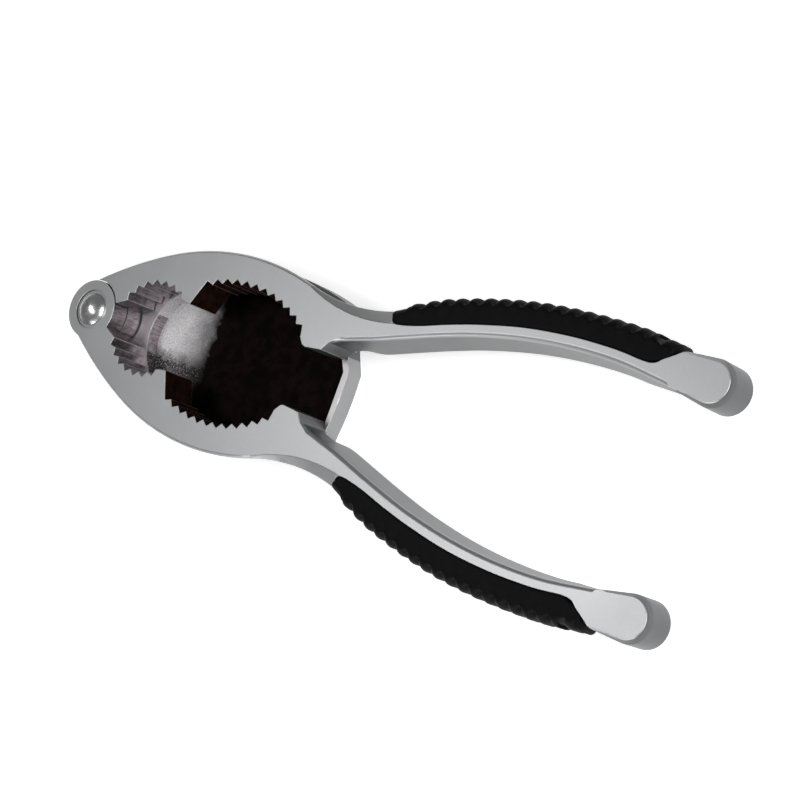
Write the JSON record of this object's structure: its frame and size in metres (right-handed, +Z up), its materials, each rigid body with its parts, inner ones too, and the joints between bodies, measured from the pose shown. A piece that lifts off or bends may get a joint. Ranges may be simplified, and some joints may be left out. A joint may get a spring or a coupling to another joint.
{
  "type": "nutcracker",
  "caption": "Plier-type nutcracker with serrated openings for large and small nuts, a catch tray cast into one lever, and ribbed soft grips.",
  "frame": {"origin": "middle of the overall box, on the flat underside of the catch tray", "axes": "+X towards the handle ends (the pivot axis is at x = -89.925 mm), +Y towards the upper (moving) lever, +Z up along the pivot axis, with the tray underneath"},
  "size_m": [0.1954, 0.0708, 0.0182],
  "materials": {
    "lever_metal": "satin die-cast metal with a fine bead-blasted face, bare and brighter on the teeth and inside the tray",
    "grip": "matte black moulded soft grip with a fine grain",
    "rivet": "polished domed head",
    "ear_washer": "plain",
    "tail_washer": "plain zinc"
  },
  "bodies": {
    "lower": {"lower_lever": "lever_metal", "lower_grip": "grip", "pivot_rivet": "rivet", "ear_washer": "ear_washer", "tail_washer": "tail_washer"},
    "upper": {"upper_lever": "lever_metal", "upper_grip": "grip"}
  },
  "joints": [
    {"name": "pivot", "type": "hinge", "parent": "lower", "child": "upper", "pos_m": [-0.08993, 0, 0.011], "axis": [0, 0, 1], "range_deg": [-11.5, 120]}
  ]
}
